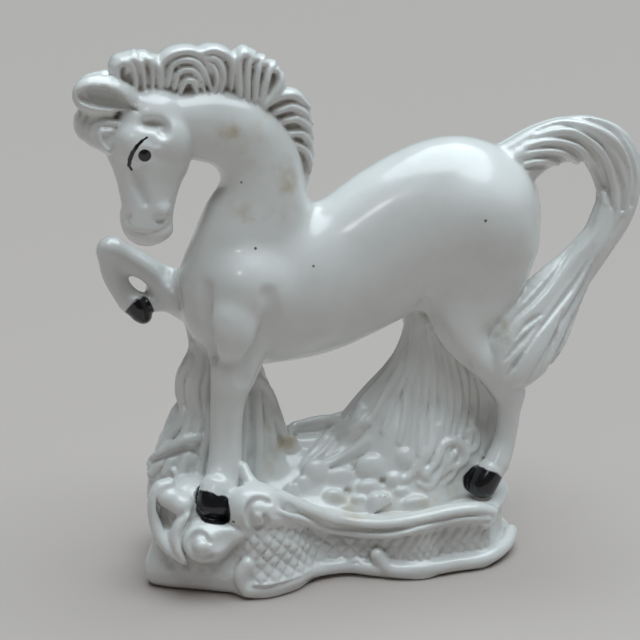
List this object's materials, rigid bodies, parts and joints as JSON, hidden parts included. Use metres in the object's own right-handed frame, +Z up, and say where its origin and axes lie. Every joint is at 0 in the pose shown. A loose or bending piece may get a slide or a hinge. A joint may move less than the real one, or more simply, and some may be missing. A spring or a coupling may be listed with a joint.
{
  "type": "porcelain horse sculpture",
  "caption": "White glazed porcelain horse with a raised foreleg, curled mane and looped tail, standing on a scrolled, latticed plinth.",
  "frame": {"origin": "on the plinth's flat underside, under the middle of its length and on the horse's middle plane", "axes": "+Z up out of the plinth, -X the way the horse faces, -Y the plinth's carved front and the horse's near side"},
  "size_m": [0.2717, 0.0952, 0.2502],
  "materials": {
    "glazed_porcelain": "glossy"
  },
  "bodies": {
    "root": {"horse_on_plinth": "glazed_porcelain"}
  },
  "joints": []
}
